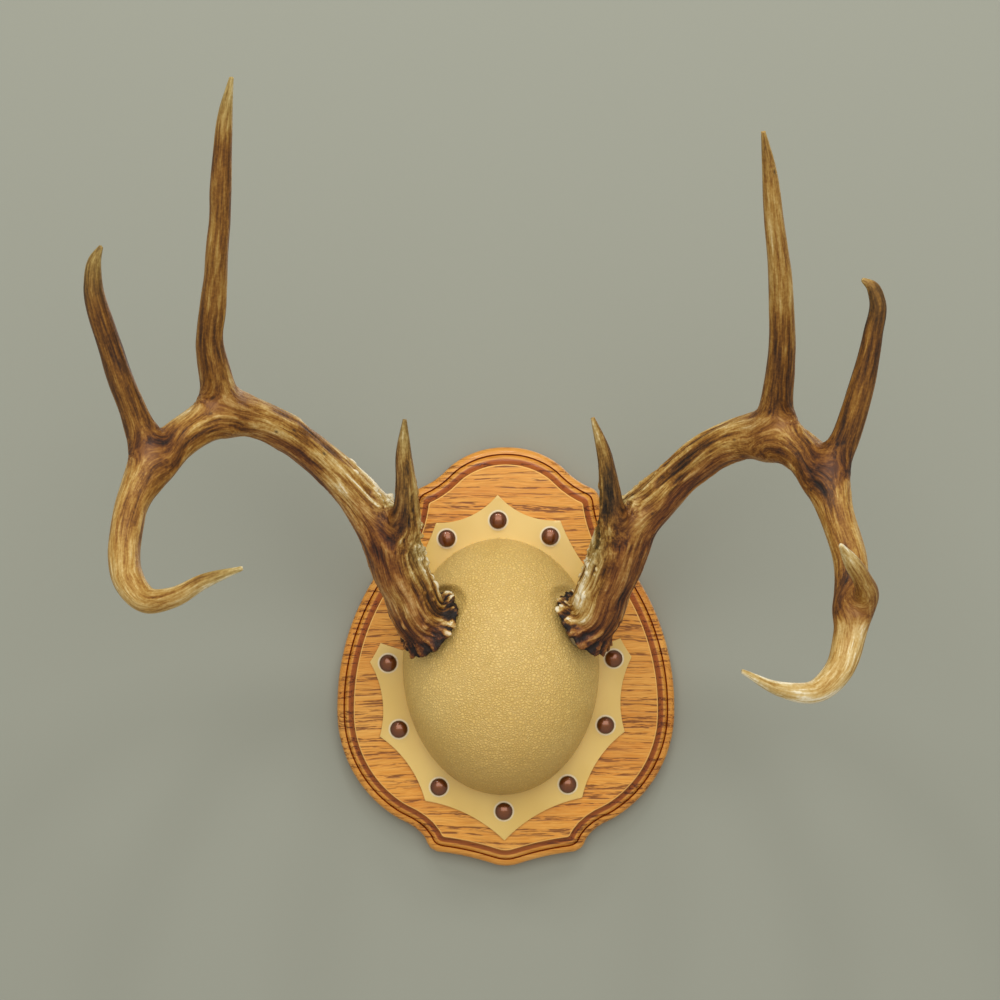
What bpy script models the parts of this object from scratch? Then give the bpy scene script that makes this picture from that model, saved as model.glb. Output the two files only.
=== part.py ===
"""A pair of whitetail deer antlers on a shield-shaped oak plaque, with a moulded cover on the skull plate.

Run with: blender --background --python part.py

The model is in metres, with +Z up. The wall is the plane y = 0 and the mount stands out of it towards -Y.
The origin is where it hangs: the top of the keyhole slot in the plaque's back.
Lengths below are in millimetres and become metres where a mesh is made. A sheet-like piece is drawn in
the wall's plane as (x, z), and depth is counted from the wall towards the room, so y = -depth.
"""

import math

import bmesh
import bpy
import numpy as np

MM = 0.001
GAP = 0.3  # clearance between pieces that touch

# Plaque: red oak board with a moulded edge.
PLAQUE_CENTRE = (0.0, -75.0)
PLAQUE_THICKNESS = 19.0
# Right half of the outline, top to bottom, about the plaque's centre: (x, z, bulge of the arc to the next
# point). A bulge is the tangent of a quarter of the arc's angle, and a hollow arc has a negative one.
PLAQUE_HALF = [
    (0.0, 132.8, 0.18),
    (36.0, 120.1, -0.11),
    (53.0, 107.5, 0.35),
    (59.5, 99.5, -0.16),
    (78.0, 58.0, 0.16),
    (107.0, -32.0, 0.28),
    (67.0, -103.5, -0.14),
    (51.0, -115.0, 0.35),
    (42.0, -124.0, -0.05),
    (9.0, -131.2, 0.10),
    (0.0, -132.8, 0.0),
]
PLAQUE_SOFTEN = 2.5  # how far a cutter's radius rounds the joins between those arcs
# Edge moulding, as (distance in from the outline, depth): a rounded nose, a quirk and a cove.
PLAQUE_EDGE = [(0.0, 0.0), (0.0, 7.5), (1.3, 10.4), (4.5, 11.6), (5.0, 13.0), (8.0, 14.4), (12.0, 19.0)]
PLAQUE_SIDES = 92
PLAQUE_ARC_STEP = 1.5

# Keyhole slot in the back, for one screw head. The origin is the top of the slot.
KEY_ENTRY_RADIUS = 5.5
KEY_SLOT_RADIUS = 2.75
KEY_UNDERCUT_RADIUS = 5.2
KEY_DROP = 15.0
KEY_NECK_DEPTH = 3.2
KEY_DEPTH = 9.0
KEY_ENTRY_EXTRA = 0.5  # the entry hole runs this much deeper than the undercut
KEY_SLOT_SHORT = 1.0  # the slot's cutter ends this far inside the undercut
KEY_OUTSIDE = -2.0  # depth where the cutters start, behind the back

# Skull cover: a vacuum-formed shell, a dome with a flat scalloped flange.
COVER_CENTRE = (-2.8, -93.7)
COVER_TURN = math.radians(1.13)
COVER_WALL = 2.0
COVER_ARC_STEP = 13.0
COVER_HALF = [
    (0.0, 121.4, -0.24),
    (39.1, 104.4, -0.08),
    (58.0, 70.0, 0.0),
    (75.3, 29.9, -0.04),
    (82.4, 17.6, -0.20),
    (77.1, -29.3, -0.18),
    (49.4, -70.3, -0.155),
    (0.0, -96.3, 0.0),
]
DOME_MIDDLE = (0.0, 13.4)
DOME_HALF_WIDTH = 61.7
DOME_HALF_HEIGHT = 80.3
DOME_RISE = 58.0
DOME_POWER = 2.3
# Cut in each side that lets the cover slip over an antler's pedicle, right side, about the cover's centre.
NOTCH_REACH = 60.0  # how far the notch's cutter runs out of the plaque
NOTCH = [(110.0, 41.5), (61.7, 24.6), (50.0, 34.0), (50.0, 54.0), (57.3, 69.2), (110.0, 93.0)]
PEDICLE_HOLE_RADIUS = 16.0
PEDICLE_HOLE_HALF = 22.0
BURR_ROOM_RADIUS = 23.5
BURR_ROOM_LENGTH = 24.0

# Tacks: upholstery nails through the flange, right half from top to bottom, about the cover's centre.
TACK_SPOTS = [(32.5, 94.5), (71.0, 16.8), (65.0, -24.9), (40.5, -61.7)]
TACK_TOP = (0.0, 105.3)
TACK_BOTTOM = (0.0, -77.8)
TACK_HEAD_RADIUS = 5.5
TACK_HEAD_RISE = 3.8
TACK_BRIM = 0.4  # height of the head's straight edge
TACK_SHANK_RADIUS = 0.7
TACK_SHANK_LENGTH = 12.0
TACK_POINT_LENGTH = 2.5
TACK_POINT_RADIUS = 0.15
TACK_SIDES = 10
DRILL_PAST = 1.0  # how far a drilled hole runs past a nail's or screw's ends
DRILL_SIDES = 8

# Skull plate: the sawn piece of skull that carries both antlers, with its two pedicles.
PLATE_MIDDLE = (0.0, -70.0)
PLATE_HALF_WIDTH = 48.0
PLATE_HALF_HEIGHT = 38.0
PLATE_EDGE = 5.0
PLATE_CROWN = 11.0
PLATE_SIDES = 24
# Its domed face, as (share of the outline, rise over the back).
PLATE_LEVELS = [
    (1.0, 0.0), (1.0, PLATE_EDGE), (0.85, PLATE_EDGE + 3), (0.55, PLATE_CROWN - 1), (0.2, PLATE_CROWN),
]
PEDICLE_RADIUS = 13.0
# Root of the right pedicle, inside the plate: x, height over the plate's back, z and radius.
PEDICLE_ROOT = (22.0, 9.5, -66.0, 13.5)
PEDICLE_STRAIGHT = (16.0, 5.0, 0.0)  # how far before its top the pedicle's straight points lie
SCREW_SPOTS = {"upper": (0.0, -50.0), "lower": (0.0, -92.0)}
SCREW_SHANK_RADIUS = 2.0
SCREW_HEAD_RADIUS = 4.2
SCREW_HEAD_RISE = 2.8
SCREW_HEAD_EDGE = 1.0
SCREW_CROWN_SHARE = 0.7
SCREW_POINT_LENGTH = 4.0
SCREW_POINT_RADIUS = 0.4
SCREW_LENGTH = 24.0
SCREW_SIDES = 12

# Antlers: points along each centre line, as (x, y, z, radius). The first two points of a beam are the
# middle of its burr and the way out of the skull.
ANTLERS = {
    "left": {
        "main_beam": [
            (-46, -60, -52, 16.5), (-51, -65, -48, 16.5), (-60, -75, -28, 16.1), (-68, -85, -8, 15.7),
            (-78, -92, 12, 14.1), (-90, -98, 28, 12.3), (-109, -110, 48, 11.1), (-131, -129, 65, 11.0),
            (-157, -152, 74, 11.5), (-180, -176, 63, 10.8), (-198, -199, 43, 10.9), (-206, -219, 22, 9.4),
            (-207, -241, -4, 8.8), (-202, -256, -20, 8.1), (-191, -268, -29, 6.9), (-176, -279, -27, 5.2),
            (-158, -291, -18, 4.0), (-137, -302, -11, 1.2),
        ],
        "brow_tine": [
            (-67, -82, -14, 9.0), (-61, -101, 6, 8.6), (-59, -120, 30, 6.5), (-60, -133, 51, 4.8),
            (-59, -145, 71, 1.2),
        ],
        "second_tine": [
            (-163, -152, 74, 9.6), (-165, -168, 91, 9.3), (-167, -185, 112, 8.0), (-163, -204, 136, 7.0),
            (-157, -231, 172, 6.2), (-153, -253, 204, 5.4), (-149, -270, 231, 3.6), (-145, -279, 247, 1.2),
        ],
        "third_tine": [
            (-198, -195, 47, 8.4), (-206, -204, 69, 7.9), (-212, -216, 89, 7.4), (-219, -232, 116, 6.5),
            (-223, -247, 140, 5.2), (-221, -254, 153, 3.5), (-217, -258, 160, 1.2),
        ],
    },
    "right": {
        "main_beam": [
            (47, -57, -52, 16.5), (52, -61, -48, 16.5), (60, -74, -28, 16.1), (68, -85, -8, 16.0),
            (78, -92, 12, 15.0), (90, -98, 25, 13.5), (108, -110, 43, 12.4), (129, -129, 57, 12.3),
            (151, -149, 62, 12.4), (167, -169, 52, 11.7), (179, -188, 36, 11.3), (184, -208, 13, 9.6),
            (188, -227, -9, 9.3), (186, -245, -30, 8.9), (183, -260, -48, 8.5), (175, -274, -66, 7.9),
            (161, -286, -76, 6.3), (142, -296, -74, 3.9), (121, -306, -64, 1.2),
        ],
        "brow_tine": [
            (67, -82, -14, 9.0), (63, -101, 7, 8.3), (61, -120, 30, 6.2), (57, -133, 52, 4.4),
            (50, -145, 72, 1.2),
        ],
        "second_tine": [
            (153, -149, 59, 9.6), (155, -165, 82, 8.9), (155, -186, 109, 7.6), (151, -215, 146, 6.5),
            (145, -238, 176, 5.6), (140, -257, 204, 3.6), (136, -268, 220, 1.2),
        ],
        "third_tine": [
            (180, -186, 37, 8.5), (190, -195, 60, 7.8), (197, -208, 88, 7.0), (201, -222, 115, 5.6),
            (202, -232, 133, 4.4), (199, -235, 140, 3.5), (193, -238, 144, 1.2),
        ],
        "fourth_tine": [
            (187, -247, -36, 6.5), (192, -261, -27, 6.0), (187, -277, -17, 5.1), (180, -288, -8, 4.2),
            (173, -298, 1, 1.2),
        ],
    },
}
BURR_FLARE = 5.6  # how much the burr adds to the radius
BURR_REACH = 3.4
BURR_PEAK = 2.6
BURR_END = 11.0
BURR_STEP = 2.2
BEAM_SIDES = 16
BEAM_STATIONS = 30
TINE_SIDES = 10
TINE_STATIONS = 11
FINE_STEPS = 2400  # points of an outline while it is softened


def clear_scene():
    """Removes whatever the file holds."""
    for old in list(bpy.data.objects):
        bpy.data.objects.remove(old, do_unlink=True)


def material(name, colour, roughness, metallic=0.0):
    """A plain finish: linear colour, roughness and metallic value."""
    made = bpy.data.materials.new(name)
    made.use_nodes = True
    shader = made.node_tree.nodes["Principled BSDF"]
    shader.inputs["Base Color"].default_value = (*colour, 1.0)
    shader.inputs["Roughness"].default_value = roughness
    shader.inputs["Metallic"].default_value = metallic
    return made


def skin(name, rings, finish, cutter=False):
    """A closed solid from an array (rings, sides, 3) in millimetres, with a point closing each end."""
    count, sides, _ = rings.shape
    first, last = rings[0].mean(axis=0), rings[-1].mean(axis=0)
    points = np.vstack([first, rings.reshape(-1, 3), last]) * MM
    ring, side = np.meshgrid(np.arange(count - 1), np.arange(sides), indexing="ij")
    here = 1 + ring * sides + side
    beside = 1 + ring * sides + (side + 1) % sides
    lower = np.stack([here, beside, beside + sides], axis=-1)
    upper = np.stack([here, beside + sides, here + sides], axis=-1)
    walls = np.concatenate([lower.reshape(-1, 3), upper.reshape(-1, 3)])
    around = np.arange(sides)
    end = 1 + (count - 1) * sides
    after = np.roll(around, -1)
    start_fan = np.stack([np.zeros_like(around), 1 + after, 1 + around], axis=-1)
    end_fan = np.stack([np.full_like(around, len(points) - 1), end + around, end + after], axis=-1)
    mesh = bpy.data.meshes.new(name)
    mesh.from_pydata(points.tolist(), [], np.vstack([start_fan, walls, end_fan]).tolist())
    shape = bmesh.new()
    shape.from_mesh(mesh)
    bmesh.ops.recalc_face_normals(shape, faces=shape.faces)
    shape.to_mesh(mesh)
    shape.free()
    mesh.shade_smooth()
    mesh.set_sharp_from_angle(angle=math.radians(40))
    return place(name, mesh, finish, cutter)


def place(name, mesh, finish, cutter=False):
    """Adds a mesh to the scene, as a piece or as a hidden cutter."""
    made = bpy.data.objects.new(name, mesh)
    bpy.context.scene.collection.objects.link(made)
    if cutter:
        made.hide_render = True
        made.display_type = "WIRE"
    else:
        mesh.materials.append(finish)
    return made


def boolean(piece, other, operation="DIFFERENCE"):
    """Cuts another shape from a piece, or joins it on."""
    step = piece.modifiers.new(operation.title() + " " + other.name, "BOOLEAN")
    step.operation = operation
    step.object = other
    step.solver = "EXACT"


def arc_outline(half, spacing):
    """Points round a closed outline, clockwise from the top. half is its right half as (x, z, bulge), and
    the left half mirrors it. A bulge b turns the chord into an arc whose angle is four times atan(b)."""
    right = []
    for (x0, z0, bulge), (x1, z1, _) in zip(half, half[1:]):
        chord = np.array([x1 - x0, z1 - z0])
        length = np.linalg.norm(chord)
        steps = max(2, round(length / spacing))
        share = np.arange(steps) / steps
        if abs(bulge) < 1e-6:
            right.append(np.array([x0, z0]) + share[:, None] * chord)
            continue
        turn = 4 * math.atan(bulge)
        outward = np.array([-chord[1], chord[0]]) / length
        radius = length / (2 * math.sin(turn / 2))
        centre = np.array([x0, z0]) + chord / 2 - outward * radius * math.cos(turn / 2)
        from_centre = np.array([x0, z0]) - centre
        angle = -turn * share
        right.append(centre + np.stack([
            from_centre[0] * np.cos(angle) - from_centre[1] * np.sin(angle),
            from_centre[0] * np.sin(angle) + from_centre[1] * np.cos(angle),
        ], axis=1))
    right = np.vstack([*right, [half[-1][:2]]])
    return np.vstack([right, right[-2:0:-1] * (-1, 1)])


def even_outline(outline, count, soften):
    """The outline as count points at equal steps, its corners rounded by averaging over soften each way."""
    closed = np.vstack([outline, outline[:1]])
    along = np.concatenate([[0], np.cumsum(np.linalg.norm(np.diff(closed, axis=0), axis=1))])
    fine = np.linspace(0, along[-1], FINE_STEPS, endpoint=False)
    dense = np.stack([np.interp(fine, along, closed[:, axis]) for axis in (0, 1)], axis=1)
    reach = max(1, round(soften / (along[-1] / FINE_STEPS)))
    blurred = sum(np.roll(dense, shift, axis=0) for shift in range(-reach, reach + 1)) / (2 * reach + 1)
    return blurred[np.round(np.arange(count) * FINE_STEPS / count).astype(int)]


def inset(outline, distance):
    """A loop at a constant distance inside the outline, found on the rays from the centre to its points."""
    if distance == 0:
        return outline
    share = np.linspace(0.72, 1.0, 120)
    ends = np.roll(outline, -1, axis=0)
    at = outline[:, None, :] * share[None, :, None]
    nearest = np.full(at.shape[:2], np.inf)
    for start, end in zip(outline, ends):
        edge = end - start
        t = np.clip(((at - start) @ edge) / (edge @ edge), 0, 1)
        nearest = np.minimum(nearest, np.linalg.norm(at - start - t[..., None] * edge, axis=2))
    found = [np.interp(-distance, -np.maximum.accumulate(row[::-1])[::-1], share) for row in nearest]
    return outline * np.array(found)[:, None]


def flat_ring(points, depth):
    """(x, z) points at a depth, as row coordinates."""
    return np.stack([points[:, 0], np.broadcast_to(-depth, len(points)), points[:, 1]], axis=1)


def stack(points_and_depths):
    """Rings from (points, depth) pairs."""
    return np.stack([flat_ring(points, depth) for points, depth in points_and_depths])


def disc(centre, radius, sides):
    """A circle's points in the wall's plane, with none of them straight above its centre."""
    angle = (np.arange(sides) + 0.5) * 2 * math.pi / sides
    return np.array(centre) + radius * np.stack([np.sin(angle), np.cos(angle)], axis=1)


def slot(top, bottom, radius, sides):
    """A slot's outline: half a circle over top and half a circle under bottom."""
    angle = np.linspace(-math.pi / 2, math.pi / 2, sides // 2)
    cap = radius * np.stack([np.sin(angle), np.cos(angle)], axis=1)
    return np.vstack([np.array(top) + cap, np.array(bottom) - cap])


def smooth_path(points, stations):
    """Even stations on the smooth curve through the points, and the unit tangents there. Between two points
    the curve is a cubic whose slopes are the central differences at them, over the chord length."""
    points = np.array(points, float)
    along = np.concatenate([[0], np.cumsum(np.linalg.norm(np.diff(points[:, :3], axis=0), axis=1))])
    slope = np.gradient(points, along, axis=0)
    fine = np.linspace(0, along[-1], 600)
    span = np.clip(np.searchsorted(along, fine, side="right") - 1, 0, len(along) - 2)
    width = (along[span + 1] - along[span])[:, None]
    u = (fine[:, None] - along[span][:, None]) / width
    curve = (
        (2 * u**3 - 3 * u**2 + 1) * points[span]
        + (u**3 - 2 * u**2 + u) * width * slope[span]
        + (3 * u**2 - 2 * u**3) * points[span + 1]
        + (u**3 - u**2) * width * slope[span + 1]
    )
    length = np.concatenate([[0], np.cumsum(np.linalg.norm(np.diff(curve[:, :3], axis=0), axis=1))])
    tangent = np.gradient(curve[:, :3], length, axis=0)
    at = stations(length[-1])
    curve = np.stack([np.interp(at, length, values) for values in curve.T], axis=1)
    tangent = np.stack([np.interp(at, length, values) for values in tangent.T], axis=1)
    return at, curve, tangent / np.linalg.norm(tangent, axis=1, keepdims=True)


def tube_rings(curve, tangent, radius, sides):
    """Circles square to the centre line, each starting on the side that faces the room."""
    side = np.cross(tangent, (0.0, -1.0, 0.0))
    side /= np.linalg.norm(side, axis=1, keepdims=True)
    front = np.cross(side, tangent)
    angle = (np.arange(sides) * 2 * math.pi / sides)[None, :, None]
    circle = np.cos(angle) * front[:, None, :] + np.sin(angle) * side[:, None, :]
    return curve[:, None, :3] + radius[:, None, None] * circle


def beam_stations(length):
    """Close together over the burr, then even."""
    return np.concatenate([np.arange(0, BURR_END, BURR_STEP), np.linspace(BURR_END, length, BEAM_STATIONS)])


def beam(name, points, finish, grow=0.0, cutter=False):
    """A main beam with its burr: the radius gains a bell-shaped flare just above the pedicle."""
    at, curve, tangent = smooth_path(points, beam_stations)
    radius = curve[:, 3] + BURR_FLARE * np.exp(-(((at - BURR_PEAK) / BURR_REACH) ** 2)) + grow
    return skin(name, tube_rings(curve, tangent, radius, BEAM_SIDES), finish, cutter)


def tine(name, points, finish, cutter):
    """A tine, whose root is cut to the beam's surface."""
    _, curve, tangent = smooth_path(points, lambda length: np.linspace(0, length, TINE_STATIONS))
    made = skin(name, tube_rings(curve, tangent, curve[:, 3], TINE_SIDES), finish)
    boolean(made, cutter)
    return made


def build_antler(side, branches, finish):
    """A beam, and its tines fitted to it with a gap all round their roots."""
    points = branches["main_beam"]
    beam(f"{side}_main_beam", points, finish)
    fat = beam(f"{side}_beam_cutter", points, finish, grow=GAP, cutter=True)
    for branch, route in branches.items():
        if branch != "main_beam":
            tine(f"{side}_{branch}", route, finish, fat)


def build_plaque(finish):
    """The board with its moulded edge, and the keyhole slot cut in its back."""
    outline = even_outline(arc_outline(PLAQUE_HALF, PLAQUE_ARC_STEP), PLAQUE_SIDES, PLAQUE_SOFTEN)
    centre = np.array(PLAQUE_CENTRE)
    rings = stack([(inset(outline, step) + centre, depth) for step, depth in PLAQUE_EDGE])
    plaque = skin("plaque", rings, finish)
    low = (0.0, -KEY_DROP - KEY_SLOT_RADIUS)
    top = (0.0, -KEY_SLOT_RADIUS)
    shapes = {
        "key_entry": (disc(low, KEY_ENTRY_RADIUS, 20), KEY_OUTSIDE, KEY_DEPTH + KEY_ENTRY_EXTRA),
        "key_slot": (slot(top, low, KEY_SLOT_RADIUS, 20), KEY_OUTSIDE, KEY_DEPTH - KEY_SLOT_SHORT),
        "key_undercut": (slot(top, low, KEY_UNDERCUT_RADIUS, 24), KEY_NECK_DEPTH, KEY_DEPTH),
    }
    for name, (shape, near, far) in shapes.items():
        boolean(plaque, skin(name, stack([(shape, near), (shape, far)]), None, cutter=True))
    return plaque


def cover_to_row(points):
    """Turns (x, z) points of the cover about its centre and puts them in the row's frame."""
    x, z = np.asarray(points, float).T
    cos, sin = math.cos(COVER_TURN), math.sin(COVER_TURN)
    return np.stack([x * cos - z * sin, x * sin + z * cos], axis=-1) + COVER_CENTRE


def dome_height(points, shrink):
    """Rise of the dome over the flange: 1 - s^p to the power 1/p, where s is the distance from the dome's
    middle as a share of its base ellipse. shrink draws the ellipse and the rise in for the inner skin."""
    x = (points[:, 0] - DOME_MIDDLE[0]) / (DOME_HALF_WIDTH - shrink)
    z = (points[:, 1] - DOME_MIDDLE[1]) / (DOME_HALF_HEIGHT - shrink)
    s = np.hypot(x, z)
    return (DOME_RISE - shrink) * np.clip(1 - s**DOME_POWER, 0, None) ** (1 / DOME_POWER)


def build_cover(finish):
    """Rings from the dome's top out to the flange's edge, and back in along the underside."""
    outline = arc_outline(COVER_HALF, COVER_ARC_STEP)
    middle = np.array(DOME_MIDDLE)
    away = outline - middle
    reach = 1 / np.hypot(away[:, 0] / DOME_HALF_WIDTH, away[:, 1] / DOME_HALF_HEIGHT)
    foot = middle + away * reach[:, None]
    face = PLAQUE_THICKNESS + GAP
    front, back = face + COVER_WALL, face
    shares = np.sin(np.linspace(0.18, 1.0, 5) * math.pi / 2)
    inner = foot - middle
    inner = inner * (1 - COVER_WALL / np.linalg.norm(inner, axis=1, keepdims=True))
    outer = [(middle + share * (foot - middle), front, 0.0) for share in shares]
    under = [(middle + share * inner, back, COVER_WALL) for share in shares[::-1]]
    rings = []
    for points, base, shrink in outer:
        rings.append(flat_ring(cover_to_row(points), base + dome_height(points, shrink)))
    rings.append(flat_ring(cover_to_row(outline), front))
    rings.append(flat_ring(cover_to_row(outline), back))
    for points, base, shrink in under:
        rings.append(flat_ring(cover_to_row(points), base + dome_height(points, shrink)))
    cover = skin("skull_cover", np.stack(rings), finish)
    for side, sign in (("left", -1), ("right", 1)):
        notch = cover_to_row(np.array(NOTCH) * (sign, 1))
        base, out = burr_base(side)
        half = PEDICLE_HOLE_HALF * out
        cuts = {
            "notch": stack([(notch, face - COVER_WALL), (notch, face + NOTCH_REACH)]),
            "pedicle_hole": straight_tube(base - half, base + half, PEDICLE_HOLE_RADIUS, 20),
            "burr_room": straight_tube(base - out, base + BURR_ROOM_LENGTH * out, BURR_ROOM_RADIUS, 24),
        }
        for name, rings in cuts.items():
            boolean(cover, skin(f"{side}_{name}", rings, None, cutter=True))
    return cover


def burr_base(side):
    """The middle of the burr's underside and the direction out of the skull there."""
    first, second = (np.array(point[:3], float) for point in ANTLERS[side]["main_beam"][:2])
    out = second - first
    return first, out / np.linalg.norm(out)


def straight_tube(start, end, radius, sides):
    """The two end rings of a straight tube."""
    tangent = np.stack([end - start, end - start]) / np.linalg.norm(end - start)
    return tube_rings(np.stack([start, end]), tangent, np.array([radius, radius]), sides)


def tack_spots():
    """Every tack's place in the row's frame, clockwise from the top."""
    right = np.array(TACK_SPOTS)
    return cover_to_row(np.vstack([TACK_TOP, right, TACK_BOTTOM, right[::-1] * (-1, 1)]))


def turned(centre, profile, sides):
    """Rings of a piece turned about a line square to the wall. profile is (radius, depth), back to front."""
    return stack([(disc(centre, radius, sides), depth) for radius, depth in profile])


def build_tacks(finish, plaque, cover):
    """Ten nails with domed heads, each in a hole of its own through the flange into the board."""
    seat = PLAQUE_THICKNESS + COVER_WALL + 2 * GAP
    tip = seat - TACK_SHANK_LENGTH
    rise = TACK_HEAD_RISE - TACK_BRIM
    dome = np.linspace(0.1, 0.88, 3) * math.pi / 2
    head = [(TACK_HEAD_RADIUS * math.cos(a), seat + TACK_BRIM + rise * math.sin(a)) for a in dome]
    profile = [
        (TACK_POINT_RADIUS, tip), (TACK_SHANK_RADIUS, tip + TACK_POINT_LENGTH), (TACK_SHANK_RADIUS, seat),
        (TACK_HEAD_RADIUS, seat), *head,
    ]
    for number, spot in enumerate(tack_spots(), start=1):
        skin(f"tack_{number:02d}", turned(spot, profile, TACK_SIDES), finish)
        drill(plaque, f"tack_hole_{number:02d}", spot, TACK_SHANK_RADIUS, tip, seat)
        drill(cover, f"tack_bore_{number:02d}", spot, TACK_SHANK_RADIUS, tip, seat)


def drill(piece, name, spot, shank_radius, tip, seat):
    """Cuts a hole with clearance for a shank that runs from tip to seat, square to the wall."""
    radius = shank_radius + GAP
    bore = turned(spot, [(radius, tip - DRILL_PAST), (radius, seat + DRILL_PAST)], DRILL_SIDES)
    boolean(piece, skin(name, bore, None, cutter=True))


def pedicle_rings(side, plate_back):
    """The stump of bone from inside the skull plate to just under the burr."""
    base, out = burr_base(side)
    top = base - GAP * out
    x, height, z, radius = PEDICLE_ROOT
    route = [(math.copysign(x, base[0]), -(plate_back + height), z, radius)]
    route += [(*(top - before * out), PEDICLE_RADIUS) for before in PEDICLE_STRAIGHT]
    _, curve, tangent = smooth_path(route, lambda length: np.linspace(0, length, 6))
    tangent[-1] = out
    return tube_rings(curve, tangent, curve[:, 3], 14)


def build_skull_plate(finish):
    """The sawn bone with its two pedicles joined on, and the depth where its screws' heads sit."""
    rim = disc((0.0, 0.0), 1.0, PLATE_SIDES) * (PLATE_HALF_WIDTH, PLATE_HALF_HEIGHT)
    back = PLAQUE_THICKNESS + GAP
    rings = stack([(np.array(PLATE_MIDDLE) + share * rim, back + rise) for share, rise in PLATE_LEVELS])
    plate = skin("skull_plate", rings, finish)
    for side in ANTLERS:
        boolean(plate, skin(f"{side}_pedicle", pedicle_rings(side, back), None, cutter=True), "UNION")
    return plate, back + PLATE_CROWN + GAP


def build_plate_screws(finish, seat, plate, plaque):
    """Two wood screws through the skull plate into the board."""
    tip = seat - SCREW_LENGTH
    profile = [
        (SCREW_POINT_RADIUS, tip), (SCREW_SHANK_RADIUS, tip + SCREW_POINT_LENGTH),
        (SCREW_SHANK_RADIUS, seat), (SCREW_HEAD_RADIUS, seat), (SCREW_HEAD_RADIUS, seat + SCREW_HEAD_EDGE),
        (SCREW_HEAD_RADIUS * SCREW_CROWN_SHARE, seat + SCREW_HEAD_RISE),
    ]
    for name, spot in SCREW_SPOTS.items():
        skin(f"plate_screw_{name}", turned(spot, profile, SCREW_SIDES), finish)
        drill(plate, f"screw_bore_{name}", spot, SCREW_SHANK_RADIUS, tip, seat)
        drill(plaque, f"screw_hole_{name}", spot, SCREW_SHANK_RADIUS, tip, seat)


def main():
    """Builds every piece of the mount."""
    clear_scene()
    oak = material("stained_oak", (0.42, 0.20, 0.065), 0.35)
    plastic = material("tan_plastic", (0.60, 0.46, 0.24), 0.45)
    bronze = material("antique_bronze", (0.25, 0.11, 0.05), 0.35, 1.0)
    bone = material("skull_bone", (0.72, 0.66, 0.52), 0.7)
    zinc = material("zinc_screw", (0.6, 0.6, 0.58), 0.4, 1.0)
    antler = material("antler_bone", (0.27, 0.16, 0.07), 0.6)
    plaque = build_plaque(oak)
    cover = build_cover(plastic)
    build_tacks(bronze, plaque, cover)
    plate, screw_seat = build_skull_plate(bone)
    build_plate_screws(zinc, screw_seat, plate, plaque)
    for side, branches in ANTLERS.items():
        build_antler(side, branches, antler)


main()
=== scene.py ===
import itertools
import math

import bpy
import numpy as np
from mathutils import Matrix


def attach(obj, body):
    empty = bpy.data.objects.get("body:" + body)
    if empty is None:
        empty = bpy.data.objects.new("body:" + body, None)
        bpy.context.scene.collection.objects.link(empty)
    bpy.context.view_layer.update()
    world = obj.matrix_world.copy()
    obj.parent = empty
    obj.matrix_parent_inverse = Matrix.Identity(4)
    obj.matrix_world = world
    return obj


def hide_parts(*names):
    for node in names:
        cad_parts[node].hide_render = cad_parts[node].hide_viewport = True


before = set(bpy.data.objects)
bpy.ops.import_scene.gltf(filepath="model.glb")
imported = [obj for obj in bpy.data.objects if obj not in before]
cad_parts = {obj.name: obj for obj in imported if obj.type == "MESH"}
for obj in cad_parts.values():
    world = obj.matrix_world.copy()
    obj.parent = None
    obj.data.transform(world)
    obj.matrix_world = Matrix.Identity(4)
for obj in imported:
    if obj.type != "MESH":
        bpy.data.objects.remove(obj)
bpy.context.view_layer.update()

# A pair of whitetail antlers on an oak plaque, with a tan moulded cover nailed over the skull plate.
# Lengths are in millimetres until a mesh is made. The wall is y = 0 and depth is counted towards the room,
# so y = -depth. A flat outline is (x, z).

MM = 0.001
GAP = 0.3


# ---------------------------------------------------------------------------------------------------------
# Sizes

PLAQUE_CENTRE = np.array([0.0, -75.0])
PLAQUE_THICKNESS = 19.0
# Right half of the board's outline about its centre, top to bottom: (x, z, bulge of the arc that follows).
PLAQUE_HALF = [
    (0.0, 132.8, 0.18), (36.0, 120.1, -0.11), (53.0, 107.5, 0.35), (59.5, 99.5, -0.16), (78.0, 58.0, 0.16),
    (107.0, -32.0, 0.28), (67.0, -103.5, -0.14), (51.0, -115.0, 0.35), (42.0, -124.0, -0.05),
    (9.0, -131.2, 0.10), (0.0, -132.8, 0.0),
]
PLAQUE_SIDES = 480
KEY_RADII = {"entry": 5.5, "slot": 2.75, "undercut": 5.2}
KEY_DROP, KEY_NECK, KEY_DEPTH = 15.0, 3.2, 9.0

COVER_CENTRE = np.array([-2.8, -93.7])
COVER_TURN = math.radians(1.13)
COVER_WALL = 2.0
COVER_HALF = [
    (0.0, 121.4, -0.24), (39.1, 104.4, -0.08), (58.0, 70.0, 0.0), (75.3, 29.9, -0.04), (82.4, 17.6, -0.20),
    (77.1, -29.3, -0.18), (49.4, -70.3, -0.155), (0.0, -96.3, 0.0),
]
DOME_MIDDLE = np.array([0.0, 13.4])
DOME_HALF = np.array([61.7, 80.3])
DOME_RISE, DOME_POWER = 58.0, 2.3
NOTCH = [(110.0, 41.5), (61.7, 24.6), (50.0, 34.0), (50.0, 54.0), (57.3, 69.2), (110.0, 93.0)]
PEDICLE_HOLE_RADIUS = 13.6

TACK_RIGHT = [(32.5, 94.5), (71.0, 16.8), (65.0, -24.9), (40.5, -61.7)]
TACK_TOP, TACK_BOTTOM = (0.0, 105.3), (0.0, -77.8)
TACK_RADIUS, TACK_RISE = 5.5, 3.8

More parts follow.
